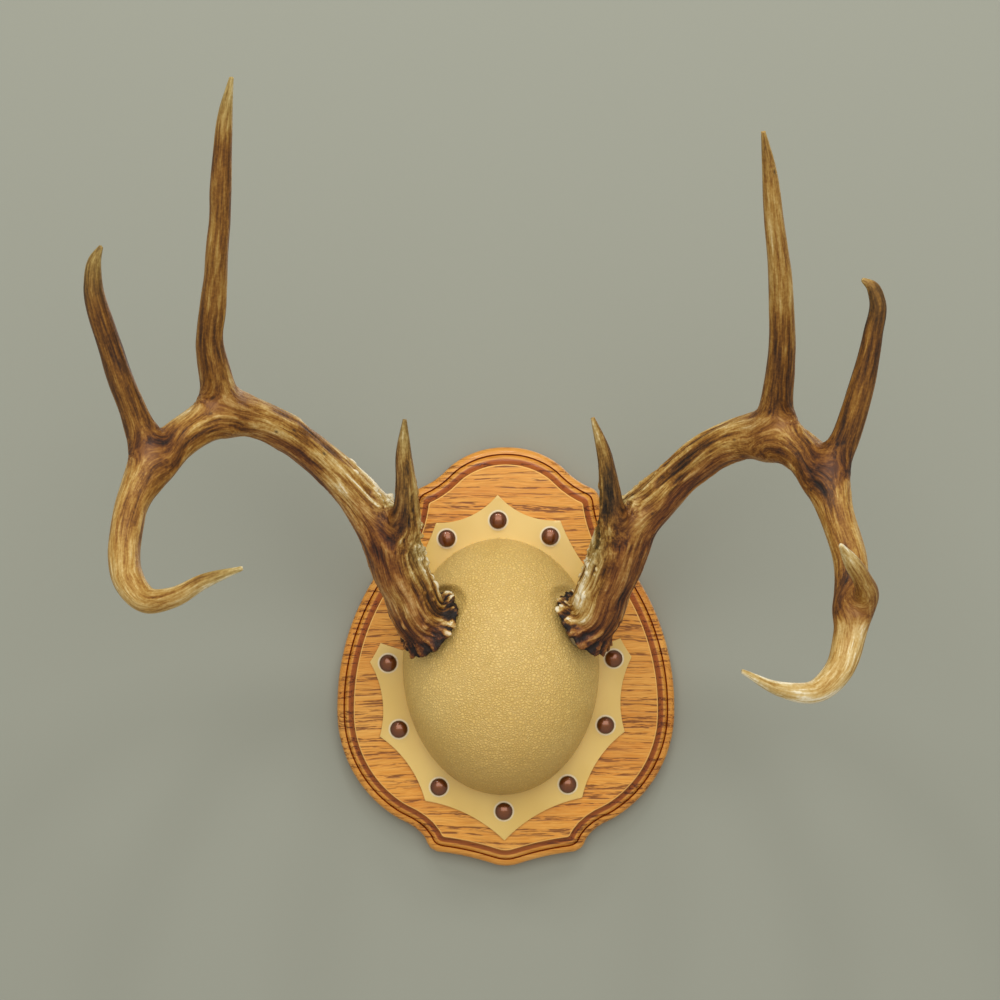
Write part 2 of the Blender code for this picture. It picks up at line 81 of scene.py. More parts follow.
# Points along each centre line: (x, y, z, radius). A beam starts at the middle of its burr.
ANTLERS = {
    "left": {
        "main_beam": [
            (-46, -60, -52, 16.5), (-51, -65, -48, 16.5), (-60, -75, -28, 16.1), (-68, -85, -8, 15.7),
            (-78, -92, 12, 14.1), (-90, -98, 28, 12.3), (-109, -110, 48, 11.1), (-131, -129, 65, 11.0),
            (-157, -152, 74, 11.5), (-180, -176, 63, 10.8), (-198, -199, 43, 10.9), (-206, -219, 22, 9.4),
            (-207, -241, -4, 8.8), (-202, -256, -20, 8.1), (-191, -268, -29, 6.9), (-176, -279, -27, 5.2),
            (-158, -291, -18, 4.0), (-137, -302, -11, 1.2),
        ],
        "brow_tine": [
            (-67, -82, -14, 9.0), (-61, -101, 6, 8.6), (-59, -120, 30, 6.5), (-60, -133, 51, 4.8),
            (-59, -145, 71, 1.2),
        ],
        "second_tine": [
            (-163, -152, 74, 9.6), (-165, -168, 91, 9.3), (-167, -185, 112, 8.0), (-163, -204, 136, 7.0),
            (-157, -231, 172, 6.2), (-153, -253, 204, 5.4), (-149, -270, 231, 3.6), (-145, -279, 247, 1.2),
        ],
        "third_tine": [
            (-198, -195, 47, 8.4), (-206, -204, 69, 7.9), (-212, -216, 89, 7.4), (-219, -232, 116, 6.5),
            (-223, -247, 140, 5.2), (-221, -254, 153, 3.5), (-217, -258, 160, 1.2),
        ],
    },
    "right": {
        "main_beam": [
            (47, -57, -52, 16.5), (52, -61, -48, 16.5), (60, -74, -28, 16.1), (68, -85, -8, 16.0),
            (78, -92, 12, 15.0), (90, -98, 25, 13.5), (108, -110, 43, 12.4), (129, -129, 57, 12.3),
            (151, -149, 62, 12.4), (167, -169, 52, 11.7), (179, -188, 36, 11.3), (184, -208, 13, 9.6),
            (188, -227, -9, 9.3), (186, -245, -30, 8.9), (183, -260, -48, 8.5), (175, -274, -66, 7.9),
            (161, -286, -76, 6.3), (142, -296, -74, 3.9), (121, -306, -64, 1.2),
        ],
        "brow_tine": [
            (67, -82, -14, 9.0), (63, -101, 7, 8.3), (61, -120, 30, 6.2), (57, -133, 52, 4.4),
            (50, -145, 72, 1.2),
        ],
        "second_tine": [
            (153, -149, 59, 9.6), (155, -165, 82, 8.9), (155, -186, 109, 7.6), (151, -215, 146, 6.5),
            (145, -238, 176, 5.6), (140, -257, 204, 3.6), (136, -268, 220, 1.2),
        ],
        "third_tine": [
            (180, -186, 37, 8.5), (190, -195, 60, 7.8), (197, -208, 88, 7.0), (201, -222, 115, 5.6),
            (202, -232, 133, 4.4), (199, -235, 140, 3.5), (193, -238, 144, 1.2),
        ],
        "fourth_tine": [
            (187, -247, -36, 6.5), (192, -261, -27, 6.0), (187, -277, -17, 5.1), (180, -288, -8, 4.2),
            (173, -298, 1, 1.2),
        ],
    },
}
BURR_FLARE, BURR_REACH, BURR_PEAK = 5.6, 3.4, 2.6
FORK_BLEND = 4.6  # how softly a tine's foot flows into the beam
VOXEL = 0.92


# ---------------------------------------------------------------------------------------------------------
# Small tools

def ease(low, high, value):
    """0 below low, 1 above high, and 3t^2 - 2t^3 between them."""
    t = np.clip((value - low) / (high - low), 0, 1)
    return t * t * (3 - 2 * t)


def noise(points, seed):
    """A smooth random field from -1 to 1. Random values sit on a lattice with a step of 1, and between its
    corners they are mixed by 6t^5 - 15t^4 + 10t^3 along each axis."""
    lattice = np.random.default_rng(seed).uniform(-1, 1, (32, 32, 32))
    cell = np.floor(points).astype(int)
    t = points - cell
    t = t * t * t * (t * (t * 6 - 15) + 10)
    total = np.zeros(points.shape[:-1])
    for corner in itertools.product((0, 1), repeat=3):
        weight = np.prod(np.where(corner, t, 1 - t), axis=-1)
        at = (cell + corner) % 32
        total += weight * lattice[at[..., 0], at[..., 1], at[..., 2]]
    return total


def new_object(name, points, faces, body="root"):
    """A smooth-shaded mesh object from points in millimetres, riding on a body."""
    mesh = bpy.data.meshes.new(name)
    mesh.from_pydata((points * MM).tolist(), [], faces.tolist())
    mesh.shade_smooth()
    made = bpy.data.objects.new(name, mesh)
    bpy.context.scene.collection.objects.link(made)
    if body:
        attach(made, body)
    return made


def grid_faces(rows, columns, offset=0):
    """Quads of a grid whose columns close into a ring."""
    row, column = np.meshgrid(np.arange(rows - 1), np.arange(columns), indexing="ij")
    here = offset + row * columns + column
    beside = offset + row * columns + (column + 1) % columns
    return np.stack([here, beside, beside + columns, here + columns], axis=-1).reshape(-1, 4)


def closed_skin(rings):
    """Points and triangles of a solid through an array of rings (rows, columns, 3), with a point on each end.
    The rings run from back to front, clockwise as seen from the front, so that the faces point outwards."""
    rows, columns, _ = rings.shape
    points = np.vstack([rings.reshape(-1, 3), rings[0].mean(axis=0), rings[-1].mean(axis=0)])
    quads = grid_faces(rows, columns)
    walls = np.vstack([quads[:, [0, 1, 2]], quads[:, [0, 2, 3]]])
    around = np.arange(columns)
    after = np.roll(around, -1)
    last = (rows - 1) * columns
    start = np.stack([np.full(columns, rows * columns), after, around], axis=-1)
    end = np.stack([np.full(columns, rows * columns + 1), last + around, last + after], axis=-1)
    return points, np.vstack([walls, start, end])


def solid_volume(points, faces):
    """Signed volume of a closed triangle mesh: the sum of a . (b x c) / 6."""
    a, b, c = (points[faces[:, k]] for k in range(3))
    return np.einsum("ij,ij->i", a, np.cross(b, c)).sum() / 6


def outward(points, faces):
    """The same triangles, turned round if the solid is inside out."""
    return faces if solid_volume(points, faces) > 0 else faces[:, ::-1]


def baked(made):
    """Applies the object's modifiers to its mesh."""
    graph = bpy.context.evaluated_depsgraph_get()
    mesh = bpy.data.meshes.new_from_object(made.evaluated_get(graph))
    made.modifiers.clear()
    made.data = mesh
    return made


def cut(made, cutters):
    """Cuts closed shapes, given as (points, faces), out of a piece."""
    helpers = []
    for points, faces in cutters:
        helper = new_object("cutter", points, outward(points, faces), body=None)
        step = made.modifiers.new("Cut", "BOOLEAN")
        step.object = helper
        step.solver = "EXACT"
        helpers.append(helper)
    baked(made)
    for helper in helpers:
        bpy.data.objects.remove(helper, do_unlink=True)


def attribute(made, name, values):
    """Stores a number or a vector at each vertex."""
    kind = "FLOAT_VECTOR" if values.ndim == 2 else "FLOAT"
    field = "vector" if values.ndim == 2 else "value"
    layer = made.data.attributes.new(name, kind, "POINT")
    layer.data.foreach_set(field, values.astype(np.float32).ravel())


def arc_outline(half, spacing):
    """Points round a closed outline, clockwise from the top. A bulge b turns a chord into an arc whose angle
    is four times atan(b), and the left half mirrors the right."""
    right = []
    for (x0, z0, bulge), (x1, z1, _) in zip(half, half[1:]):
        chord = np.array([x1 - x0, z1 - z0])
        length = np.linalg.norm(chord)
        share = np.arange(max(2, round(length / spacing))) / max(2, round(length / spacing))
        outward_side = np.array([-chord[1], chord[0]]) / length
        # height of the arc over its chord, with the exact circle's shape for a bulge
        if abs(bulge) < 1e-6:
            right.append(np.array([x0, z0]) + share[:, None] * chord)
            continue
        turn = 4 * math.atan(bulge)
        radius = length / (2 * math.sin(turn / 2))
        centre = np.array([x0, z0]) + chord / 2 - outward_side * radius * math.cos(turn / 2)
        away = np.array([x0, z0]) - centre
        cos, sin = np.cos(-turn * share), np.sin(-turn * share)
        turned = [away[0] * cos - away[1] * sin, away[0] * sin + away[1] * cos]
        right.append(centre + np.stack(turned, axis=1))
    right = np.vstack([*right, [half[-1][:2]]])
    return np.vstack([right, right[-2:0:-1] * (-1, 1)])


def even_outline(outline, count, soften):
    """The outline as count points at equal steps, with its corners rounded by averaging over soften."""
    closed = np.vstack([outline, outline[:1]])
    along = np.concatenate([[0], np.cumsum(np.linalg.norm(np.diff(closed, axis=0), axis=1))])
    fine_count = 8 * count
    fine = np.linspace(0, along[-1], fine_count, endpoint=False)
    dense = np.stack([np.interp(fine, along, closed[:, axis]) for axis in (0, 1)], axis=1)
    reach = round(soften / (along[-1] / fine_count))
    blurred = sum(np.roll(dense, shift, axis=0) for shift in range(-reach, reach + 1)) / (2 * reach + 1)
    return blurred[::8]


def edge_distance(points, polygon):
    """Distance from each point to a closed polygon's edge, less than nothing inside it."""
    nearest = np.full(points.shape[:-1], np.inf)
    inside = np.zeros(points.shape[:-1], bool)
    for start, end in zip(polygon, np.roll(polygon, -1, axis=0)):
        edge = end - start
        t = np.clip(((points - start) @ edge) / (edge @ edge), 0, 1)
        nearest = np.minimum(nearest, np.linalg.norm(points - start - t[..., None] * edge, axis=-1))
        straddles = (start[1] > points[..., 1]) != (end[1] > points[..., 1])
        rise = edge[1] if edge[1] else 1.0
        crossing = start[0] + (points[..., 1] - start[1]) * edge[0] / rise
        inside ^= straddles & (points[..., 0] < crossing)
    return np.where(inside, -nearest, nearest)


def flat(points, depth):
    """(x, z) points at a depth, as (x, y, z)."""
    return np.stack([points[..., 0], np.broadcast_to(-depth, points.shape[:-1]), points[..., 1]], axis=-1)


# ---------------------------------------------------------------------------------------------------------
# Materials

def linear(hex_colour, alpha=1.0):
    """An sRGB hex colour as linear red, green, blue and alpha."""
    parts = [int(hex_colour[k : k + 2], 16) / 255 for k in (1, 3, 5)]
    return tuple(c / 12.92 if c <= 0.04045 else ((c + 0.055) / 1.055) ** 2.4 for c in parts) + (alpha,)


def plug(tree, node, **links):
    """Sets or links a node's inputs. A value is a constant, an output socket or a node, which stands for its
    first live output. A name is the input's own or, after an underscore, its number."""
    for key, value in links.items():
        socket = node.inputs[int(key[1:])] if key[0] == "_" else node.inputs[key.replace("_", " ")]
        if isinstance(value, bpy.types.Node):
            value = next(output for output in value.outputs if output.enabled)
        if isinstance(value, bpy.types.NodeSocket):
            tree.links.new(value, socket)
        else:
            socket.default_value = value


def add(tree, kind, settings=None, **links):
    """Adds a node with its settings and its inputs. A colour ramp's settings are its stops, as (position, hex
    colour), and whether it is soft between them."""
    node = tree.nodes.new("ShaderNode" + kind)
    settings = dict(settings or {})
    if "stops" in settings:
        stops = settings.pop("stops")
        node.color_ramp.interpolation = "EASE" if settings.pop("soft", False) else "LINEAR"
        elements = node.color_ramp.elements
        for position, _ in stops[2:]:
            elements.new(position)
        for element, (position, colour) in zip(elements, stops):
            element.position = position
            element.color = linear(colour)
    for key, value in settings.items():
        setattr(node, key, value)
    plug(tree, node, **links)
    return node


def start_material(name):
    """A new material's node tree and its shader."""
    made = bpy.data.materials.new(name)
    made.use_nodes = True
    return made, made.node_tree, made.node_tree.nodes["Principled BSDF"]


def antler_bone():
    """Hard-horn antler, grown and rubbed on bark: the gutters are darker and the ridges paler, partly from
    sap stains, grime and wear and partly as painted shade and highlight from the relief, and the tips are
    polished. The eye sees streaks along the grain and a soft, waxy sheen."""
    made, tree, shader = start_material("rubbed_antler")
    grain = add(tree, "Attribute", {"attribute_name": "grain"}).outputs["Vector"]
    tone, relief, ruddy, horn, rough_part = (
        add(tree, "Attribute", {"attribute_name": name}).outputs["Fac"]
        for name in ("tone", "relief", "ruddy", "horn", "rough")
    )
    # streaks along the grain: broad ones 5 mm across, fine ones 1 mm, and fibres of a third of a millimetre
    broad_way = add(tree, "Mapping", _0=grain, Scale=(1.0, 1.0, 0.10))
    fine_way = add(tree, "Mapping", _0=grain, Scale=(1.0, 1.0, 0.07))
    broad = add(tree, "TexNoise", Vector=broad_way, Scale=170.0, Detail=5.0, Roughness=0.62)
    streak = add(tree, "TexNoise", Vector=fine_way, Scale=520.0, Detail=3.0, Roughness=0.6)
    fibre = add(tree, "TexNoise", Vector=fine_way, Scale=1500.0, Detail=2.0, Roughness=0.6)
    blotch_way = add(tree, "Mapping", _0=grain, Scale=(1.0, 1.0, 0.4))
    blotch = add(tree, "TexNoise", Vector=blotch_way, Scale=75.0, Detail=4.0, Roughness=0.6)
    speck = add(tree, "TexNoise", Vector=grain, Scale=620.0, Detail=2.0, Roughness=0.5)
    strong = add(tree, "MapRange", Value=rough_part, To_Min=0.74)
    stir = 0.0
    for source, amount in ((broad, 1.05), (streak, 1.10), (fibre, 0.45), (blotch, 0.55), (speck, 0.35)):
        centred = add(tree, "Math", {"operation": "SUBTRACT"}, _0=source, _1=0.5)
        stir = add(tree, "Math", {"operation": "MULTIPLY_ADD"}, _0=centred, _1=amount, _2=stir)
    # the relief darkens the gutters and lightens the ridges: part stain and wear, part painted shade and
    # highlight
    shaded = add(tree, "Math", {"operation": "MULTIPLY_ADD"}, _0=relief, _1=0.36, _2=tone)
    value = add(tree, "Math", {"operation": "MULTIPLY_ADD"}, _0=stir, _1=strong, _2=shaded)
    brown_stops = [
        (0.0, "#150902"), (0.14, "#331b06"), (0.30, "#5c360a"), (0.45, "#855618"), (0.60, "#a67c36"),
        (0.75, "#c09e5c"), (0.88, "#d3ba82"), (1.0, "#ebdfc0"),
    ]
    red_stops = [(0.0, "#1a0802"), (0.3, "#562608"), (0.6, "#8b5018"), (1.0, "#c28f4c")]
    green_stops = [(0.0, "#1e1606"), (0.45, "#786a34"), (0.75, "#a89a62"), (1.0, "#dfd6b2")]
    brown, red, green = (
        add(tree, "ValToRGB", {"stops": stops}, Fac=value) for stops in (brown_stops, red_stops, green_stops)
    )
    warm = add(tree, "Mix", {"data_type": "RGBA"}, _0=ruddy, _6=brown, _7=red)
    colour = add(tree, "Mix", {"data_type": "RGBA"}, _0=horn, _6=warm, _7=green)
    # dark pin holes where blood vessels came through, a few to each hand's width
    pore_way = add(tree, "Mapping", _0=grain, Scale=(1.0, 1.0, 0.45))
    pore = add(tree, "TexVoronoi", {"feature": "F1"}, Vector=pore_way, Scale=85.0)
    pit = add(tree, "MapRange", Value=pore, From_Min=0.03, From_Max=0.09, To_Min=0.8, To_Max=0.0)
    pitted = add(tree, "Mix", {"data_type": "RGBA"}, _0=pit, _6=colour, _7=linear("#2a1509"))
    gloss = add(tree, "MapRange", Value=value, To_Min=0.6, To_Max=0.38)
    height = add(tree, "Math", {"operation": "MULTIPLY_ADD"}, _0=streak, _1=1.6, _2=fibre)
    lined = add(tree, "Math", {"operation": "MULTIPLY"}, _0=height, _1=strong)
    bump = add(tree, "Bump", Height=lined, Strength=0.8, Distance=0.0006)
    plug(tree, shader, Base_Color=pitted, Roughness=gloss, IOR=1.54, Specular_IOR_Level=0.32, Normal=bump)
    return made


def varnished_oak():
    """Flat-sawn red oak, stained honey brown and sprayed with satin varnish. The open pores of each spring
    ring take the stain dark, so the face shows short dark dashes along the grain under a clear gloss."""
    made, tree, shader = start_material("varnished_red_oak")
    place = add(tree, "TexCoord").outputs["Object"]
    drift_way = add(tree, "Mapping", _0=place, Scale=(0.35, 1.0, 1.0))
    drift = add(tree, "TexNoise", Vector=drift_way, Scale=22.0, Detail=3.0)
    shift = add(tree, "VectorMath", {"operation": "SCALE"}, _0=drift.outputs["Color"], Scale=0.014)
    warped = add(tree, "VectorMath", {"operation": "ADD"}, _0=place, _1=shift)
    # spring bands about 3 mm apart up the board, at uneven steps, tilted through its thickness
    tilted = add(tree, "Mapping", _0=warped, Rotation=(0.5, 0.0, 0.02), Scale=(0.02, 0.05, 1.0))
    rings = add(tree, "TexNoise", Vector=tilted, Scale=400.0, Detail=2.0, Roughness=0.5)
    # pores drawn 0.5 mm wide and 6 mm long
    pore_way = add(tree, "Mapping", _0=warped, Scale=(0.085, 0.6, 1.0))
    pores = add(tree, "TexNoise", Vector=pore_way, Scale=1050.0, Detail=2.0, Roughness=0.6)
    fine_way = add(tree, "Mapping", _0=warped, Scale=(0.03, 0.5, 1.0))
    fine = add(tree, "TexNoise", Vector=fine_way, Scale=2200.0, Detail=2.0)
    broad = add(tree, "TexNoise", Vector=pore_way, Scale=75.0, Detail=3.0)
    spring = add(tree, "MapRange", Value=rings, From_Min=0.48, From_Max=0.58, To_Min=0.10)
    open_pore = add(tree, "MapRange", Value=pores, From_Min=0.46, From_Max=0.55)
    dash = add(tree, "Math", {"operation": "MULTIPLY"}, _0=spring, _1=open_pore)
    ground_stops = [(0.32, "#cc7a18"), (0.5, "#de952e"), (0.68, "#ebad4e")]
    ground = add(tree, "ValToRGB", {"stops": ground_stops, "soft": True}, Fac=broad)
    fibre_stops = [(0.3, "#cf8426"), (0.7, "#f2b85c")]
    fibre = add(tree, "ValToRGB", {"stops": fibre_stops, "soft": True}, Fac=fine)
    body = add(tree, "Mix", {"data_type": "RGBA"}, _0=0.5, _6=ground, _7=fibre)
    warm = add(tree, "Math", {"operation": "MULTIPLY"}, _0=spring, _1=0.25)
    banded = add(tree, "Mix", {"data_type": "RGBA"}, _0=warm, _6=body, _7=linear("#bb6a14"))
    dark = add(tree, "Math", {"operation": "MULTIPLY"}, _0=dash, _1=0.92)
    colour = add(tree, "Mix", {"data_type": "RGBA"}, _0=dark, _6=banded, _7=linear("#7a4206"))
    stain = add(tree, "Attribute", {"attribute_name": "stain"}).outputs["Fac"]
    stained = add(tree, "Mix", {"data_type": "RGBA", "blend_type": "MULTIPLY"}, _0=stain,
                  _6=colour, _7=linear("#a5601a"))
    # the pale line along the arris: partly stain rubbed thin, partly a painted highlight
    arris = add(tree, "Attribute", {"attribute_name": "arris"}).outputs["Fac"]
    rubbed = add(tree, "Mix", {"data_type": "RGBA"}, _0=arris, _6=stained, _7=linear("#eeba66"))
    bump = add(tree, "Bump", {"invert": True}, Height=dash, Strength=0.4, Distance=0.0004)
    plug(tree, shader, Base_Color=rubbed, Roughness=0.45, IOR=1.5, Specular_IOR_Level=0.3, Coat_Weight=0.3,
         Coat_Roughness=0.14, Normal=bump)
    return made


def moulded_plastic():
    """Vacuum-formed ABS sheet, butter tan. The dome carries a pressed leather grain of 1 to 2 mm pebbles,
    and the flange is smooth, so it takes sharper highlights. A thin pale ring round each nail head is a
    painted highlight, and the lower dome and the grain's crevices are painted darker as shade."""
    made, tree, shader = start_material("moulded_abs_leather_grain")
    place = add(tree, "TexCoord").outputs["Object"]
    dome, low = (add(tree, "Attribute", {"attribute_name": name}).outputs["Fac"] for name in ("dome", "low"))
    warp = add(tree, "TexNoise", Vector=place, Scale=160.0, Detail=2.0).outputs["Color"]
    shift = add(tree, "VectorMath", {"operation": "SCALE"}, _0=warp, Scale=0.004)
    bent = add(tree, "VectorMath", {"operation": "ADD"}, _0=place, _1=shift)
    pebble_way = add(tree, "Mapping", _0=bent, Scale=(0.8, 0.9, 1.0))
    pebble = add(tree, "TexVoronoi", {"feature": "DISTANCE_TO_EDGE"}, Vector=pebble_way, Scale=640.0)
    crack = add(tree, "MapRange", Value=pebble, From_Max=0.3)
    soft = add(tree, "TexNoise", Vector=place, Scale=420.0, Detail=3.0)
    patch = add(tree, "TexNoise", Vector=place, Scale=22.0, Detail=2.0)
    body_stops = [(0.3, "#dab765"), (0.7, "#e4c374")]
    body = add(tree, "ValToRGB", {"stops": body_stops, "soft": True}, Fac=patch)
    # painted shade: the lower part of the dome is painted a darker tan
    lower = add(tree, "Mix", {"data_type": "RGBA"}, _0=low, _6=body, _7=linear("#c29a4a"))
    # painted shade: the crevices of the pressed grain are painted darker
    crevice = add(tree, "MapRange", Value=crack, To_Min=0.46, To_Max=0.0)
    crevice_shade = add(tree, "Math", {"operation": "MULTIPLY"}, _0=crevice, _1=dome)
    grained = add(tree, "Mix", {"data_type": "RGBA"}, _0=crevice_shade, _6=lower, _7=linear("#a07c38"))
    level = add(tree, "VectorMath", {"operation": "MULTIPLY"}, _0=place, _1=(1.0, 0.0, 1.0))
    away = 1.0
    for x, z in cover_to_row(tack_spots()) * MM:
        one = add(tree, "VectorMath", {"operation": "DISTANCE"}, _0=level, _1=(x, 0.0, z))
        away = add(tree, "Math", {"operation": "MINIMUM"}, _0=one, _1=away)
    # painted highlight: a thin pale ring round each nail head
    ring = add(tree, "MapRange", Value=away, From_Min=0.0061, From_Max=0.0068, To_Min=0.65, To_Max=0.0)
    colour = add(tree, "Mix", {"data_type": "RGBA"}, _0=ring, _6=grained, _7=linear("#f6e8d0"))
    rough = add(tree, "MapRange", Value=dome, To_Min=0.2, To_Max=0.5)
    height = add(tree, "Math", {"operation": "MULTIPLY_ADD"}, _0=soft, _1=0.9, _2=crack)
    grain = add(tree, "Math", {"operation": "MULTIPLY"}, _0=height, _1=dome)
    bump = add(tree, "Bump", Height=grain, Strength=0.65, Distance=0.0005)
    plug(tree, shader, Base_Color=colour, Roughness=rough, IOR=1.53, Subsurface_Weight=0.08,
         Subsurface_Scale=0.003, Subsurface_Radius=(1.0, 0.7, 0.4), Normal=bump)
    return made


def antique_bronze():
    """A plated steel nail head in antique bronze: dark brown in the shade of the rim, rubbed to copper on the
    crown, lacquered, so it shows small bright highlights."""
    made, tree, shader = start_material("antique_bronze_plate")
    place = add(tree, "TexCoord").outputs["Object"]
    crown = add(tree, "Attribute", {"attribute_name": "crown"}).outputs["Fac"]
    mottle = add(tree, "TexNoise", Vector=place, Scale=900.0, Detail=3.0)
    mixed = add(tree, "Math", {"operation": "MULTIPLY_ADD"}, _0=mottle, _1=0.4, _2=crown)
    colour_stops = [(0.15, "#260f05"), (0.6, "#62300f"), (1.0, "#7e451b")]
    colour = add(tree, "ValToRGB", {"stops": colour_stops}, Fac=mixed)
    plug(tree, shader, Base_Color=colour, Metallic=0.7, Roughness=0.32, Coat_Weight=0.8, Coat_Roughness=0.06)
    return made


def cleaned_bone():
    """Boiled skull bone, slightly greasy: cream with brown stains in its pores, and matt."""
    made, tree, shader = start_material("boiled_bone")
    place = add(tree, "TexCoord").outputs["Object"]
    stain = add(tree, "TexNoise", Vector=place, Scale=90.0, Detail=5.0, Roughness=0.65)
    colour_stops = [(0.3, "#6e5433"), (0.5, "#a58f63"), (0.75, "#cdbd96")]
    colour = add(tree, "ValToRGB", {"stops": colour_stops, "soft": True}, Fac=stain)
    pits = add(tree, "TexNoise", Vector=place, Scale=700.0, Detail=2.0)
    bump = add(tree, "Bump", Height=pits, Strength=0.4, Distance=0.0004)
    plug(tree, shader, Base_Color=colour, Roughness=0.65, IOR=1.54, Normal=bump)
    return made


def zinc_plate():
    """Bright zinc on steel wood screws: a cool grey metal with a faint yellow passivated bloom."""
    made, tree, shader = start_material("zinc_plated_steel")
    place = add(tree, "TexCoord").outputs["Object"]
    bloom = add(tree, "TexNoise", Vector=place, Scale=500.0, Detail=2.0)
    colour_stops = [(0.3, "#a9a9a2"), (0.7, "#c9c7b6")]
    colour = add(tree, "ValToRGB", {"stops": colour_stops, "soft": True}, Fac=bloom)
    plug(tree, shader, Base_Color=colour, Metallic=1.0, Roughness=0.36)
    return made


def painted_wall():
    """The plain pale wall behind the mount. Its back lets the eye through, so that the mount can be looked at
    from behind as well."""
    made, tree, shader = start_material("pale_wall")
    plug(tree, shader, Base_Color=linear("#94968a"), Roughness=0.9)
    back = add(tree, "NewGeometry").outputs["Backfacing"]
    clear = add(tree, "BsdfTransparent")
    sides = add(tree, "MixShader", _0=back, _1=shader, _2=clear)
    plug(tree, tree.nodes["Material Output"], Surface=sides)
    return made


# ---------------------------------------------------------------------------------------------------------
# Antlers

def pearls(points, seed, share):
    """Little domes scattered through space, one at a random place in each unit cell that has one. Its height
    over the skin is sqrt(r^2 - d^2), with d the distance from its middle and r from 0.2 to 0.45."""
    random = np.random.default_rng(seed)
    spot = random.uniform(0.1, 0.9, (16, 16, 16, 3))
    radius = random.uniform(0.2, 0.45, (16, 16, 16)) * (random.uniform(0, 1, (16, 16, 16)) < share)
    cell = np.floor(points).astype(int)
    best = np.zeros(len(points))
    for corner in itertools.product((-1, 0, 1), repeat=3):
        at = cell + corner
        a, b, c = (at % 16).T
        away = ((points - at - spot[a, b, c]) ** 2).sum(axis=1)
        best = np.maximum(best, radius[a, b, c] ** 2 - away)
    return np.sqrt(best)


def centre_line(points, step=1.0):
    """Even stations on the smooth curve through (x, y, z, radius) points, a cubic between two points whose
    slopes are the central differences over the chord length. Gives distance, curve, tangent and two square
    axes: front, towards the room, and side, across it."""
    points = np.array(points, float)
    along = np.concatenate([[0], np.cumsum(np.linalg.norm(np.diff(points[:, :3], axis=0), axis=1))])
    slope = np.gradient(points, along, axis=0)
    fine = np.linspace(0, along[-1], 900)
    span = np.clip(np.searchsorted(along, fine, side="right") - 1, 0, len(along) - 2)
    width = (along[span + 1] - along[span])[:, None]
    u = (fine[:, None] - along[span][:, None]) / width
    curve = (
        (2 * u**3 - 3 * u**2 + 1) * points[span]
        + (u**3 - 2 * u**2 + u) * width * slope[span]
        + (3 * u**2 - 2 * u**3) * points[span + 1]
        + (u**3 - u**2) * width * slope[span + 1]
    )
    length = np.concatenate([[0], np.cumsum(np.linalg.norm(np.diff(curve[:, :3], axis=0), axis=1))])
    at = np.linspace(0, length[-1], round(length[-1] / step) + 1)
    curve = np.stack([np.interp(at, length, values) for values in curve.T], axis=1)
    tangent = np.gradient(curve[:, :3], at, axis=0)
    tangent /= np.linalg.norm(tangent, axis=1, keepdims=True)
    side = np.cross(tangent, (0.0, -1.0, 0.0))
    side /= np.linalg.norm(side, axis=1, keepdims=True)
    return {
        "at": at, "middle": curve[:, :3], "radius": curve[:, 3], "tangent": tangent, "side": side,
        "front": np.cross(side, tangent),
    }


def tube(line, sides):
    """Circles round a centre line, square to it: middle + radius (front cos a + side sin a)."""
    angle = (np.arange(sides) * 2 * math.pi / sides)[None, :, None]
    circle = np.cos(angle) * line["front"][:, None] + np.sin(angle) * line["side"][:, None]
    return line["middle"][:, None] + line["radius"][:, None, None] * circle


def seen_from(line, points, straight_start):
    """Where points lie round a centre line: distance from its surface, the way out, distance along it, and
    the offsets towards its front and side. Before a straight start the line runs on behind it."""
    squared = (line["middle"] ** 2).sum(axis=1)[None] - 2 * points @ line["middle"].T
    nearest = np.argmin(squared, axis=1)
    step = line["at"][1]
    offset = points - line["middle"][nearest]
    ahead = np.einsum("ij,ij->i", offset, line["tangent"][nearest])
    low = np.where((nearest == 0) & straight_start, -60.0, -step)
    high = np.where(nearest == len(line["at"]) - 1, 0.0, step)
    ahead = np.clip(ahead, low, high)
    offset -= ahead[:, None] * line["tangent"][nearest]
    distance = np.linalg.norm(offset, axis=1)
    at = line["at"][nearest] + ahead
    front = np.einsum("ij,ij->i", offset, line["front"][nearest])
    side = np.einsum("ij,ij->i", offset, line["side"][nearest])
    gap = distance - np.interp(at, line["at"], line["radius"])
    return gap, offset / np.maximum(distance, 1e-6)[:, None], at, front, side


def blended(lines, starts, points):
    """The antler's smooth skin: minus k log of the sum of exp(-gap / k) over its branches, cut flat under
    the burr. Gives the gap, the way out, each branch's share with its own coordinates, and coordinates
    along the grain."""
    batches = np.array_split(points, max(1, len(points) // 20000))
    views = []
    for name, line in lines.items():
        parts = [seen_from(line, batch, name == "main_beam") for batch in batches]
        views.append([np.concatenate(values) for values in zip(*parts)])
    gaps = np.stack([view[0] for view in views])
    power = np.exp(-(gaps - gaps.min(axis=0)) / FORK_BLEND)
    share = power / power.sum(axis=0)
    gap = gaps.min(axis=0) - FORK_BLEND * np.log(power.sum(axis=0))
    way = np.einsum("bi,bij->ij", share, np.stack([view[1] for view in views]))
    beam_at = views[0][2]
    flat_end, soft = -beam_at, 0.5
    top = np.maximum(gap, flat_end)
    end_power, side_power = np.exp((flat_end - top) / soft), np.exp((gap - top) / soft)
    end_share = end_power / (end_power + side_power)
    gap = top + soft * np.log(end_power + side_power)
    way = way * (1 - end_share[:, None]) - lines["main_beam"]["tangent"][0] * end_share[:, None]
    way /= np.linalg.norm(way, axis=1, keepdims=True)
    front, side = (sum(share[k] * view[n] for k, view in enumerate(views)) for n in (3, 4))
    at = sum(share[k] * (view[2] + starts[k]) for k, view in enumerate(views))
    return gap, way, share, views, np.stack([front, side, at], axis=1)


